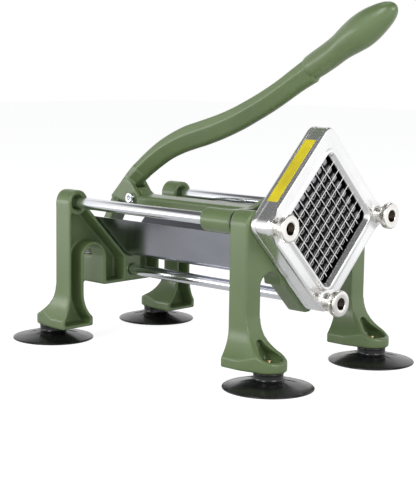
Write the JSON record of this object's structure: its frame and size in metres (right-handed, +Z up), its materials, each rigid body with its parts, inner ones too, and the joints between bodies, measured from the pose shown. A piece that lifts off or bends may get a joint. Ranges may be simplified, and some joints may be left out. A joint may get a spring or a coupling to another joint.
{
  "type": "french fry cutter",
  "caption": "Bench-top lever press that pushes food through a square blade grid, on suction cup feet.",
  "frame": {"origin": "on the bench under the middle of the four suction cups", "axes": "+Z up, +Y from the blade head to the lever's hub, +X to the right seen from the blade head"},
  "size_m": [0.2272, 0.3897, 0.3258],
  "materials": {
    "green_paint": "satin sage green paint on cast metal",
    "rod_chrome": "polished",
    "plain_steel": "satin",
    "sheet_steel": "brushed sheet",
    "head_metal": "fine satin cast plate",
    "blade_steel": "ground",
    "nut_nickel": "nickel plated",
    "yellow_film": "bare yellow film",
    "black_rubber": "glossy rubber",
    "black_plastic": "satin moulded plastic",
    "stud_brass": "plain"
  },
  "bodies": {
    "frame": {"front_frame": "green_paint", "rear_frame": "green_paint", "rod_upper_left": "rod_chrome", "rod_upper_right": "rod_chrome", "rod_lower": "rod_chrome", "rod_end_washers": "plain_steel", "rod_end_nuts": "plain_steel", "trough": "sheet_steel", "trough_screws": "plain_steel", "blade_back_plate": "head_metal", "blade_cover": "head_metal", "blades_front_set": "blade_steel", "blades_rear_set": "blade_steel", "cover_screws": "plain_steel", "side_sticker": "yellow_film", "suction_cup_front_left": "black_rubber", "suction_cup_front_right": "black_rubber", "suction_cup_rear_left": "black_rubber", "suction_cup_rear_right": "black_rubber", "cup_studs": "stud_brass"},
    "nut_left": {"thumb_nut_left": "nut_nickel"},
    "nut_right": {"thumb_nut_right": "nut_nickel"},
    "nut_bottom": {"thumb_nut_bottom": "nut_nickel"},
    "carriage": {"carriage": "green_paint", "sleeve_bush_left": "black_plastic", "sleeve_bush_right": "black_plastic", "pusher_plate": "plain_steel", "pusher_block": "black_plastic", "pusher_screws": "plain_steel", "hub_bush": "stud_brass"},
    "lever": {"lever": "green_paint", "hub_bolt": "rod_chrome", "hub_nut": "plain_steel", "lower_pin": "plain_steel", "pin_clips": "plain_steel"}
  },
  "joints": [
    {"name": "carriage_slide", "type": "slide", "parent": "frame", "child": "carriage", "axis": [0, 1, 0], "range_m": [0, 0.1211]},
    {"name": "lever_swing", "type": "hinge", "parent": "carriage", "child": "lever", "pos_m": [0, 0.093, 0.1395], "axis": [-1, 0, 0], "range_deg": [0, 87.6]},
    {"name": "nut_left_turn", "type": "hinge", "parent": "frame", "child": "nut_left", "pos_m": [-0.0722, -0.153, 0.138], "axis": [0, 1, 0], "continuous": true},
    {"name": "nut_right_turn", "type": "hinge", "parent": "frame", "child": "nut_right", "pos_m": [0.0722, -0.153, 0.138], "axis": [0, 1, 0], "continuous": true},
    {"name": "nut_bottom_turn", "type": "hinge", "parent": "frame", "child": "nut_bottom", "pos_m": [0, -0.153, 0.0658], "axis": [0, 1, 0], "continuous": true}
  ],
  "couplings": [
    {"joint": "carriage_slide", "follows": "lever_swing", "m_per_rad": 0.0792}
  ]
}
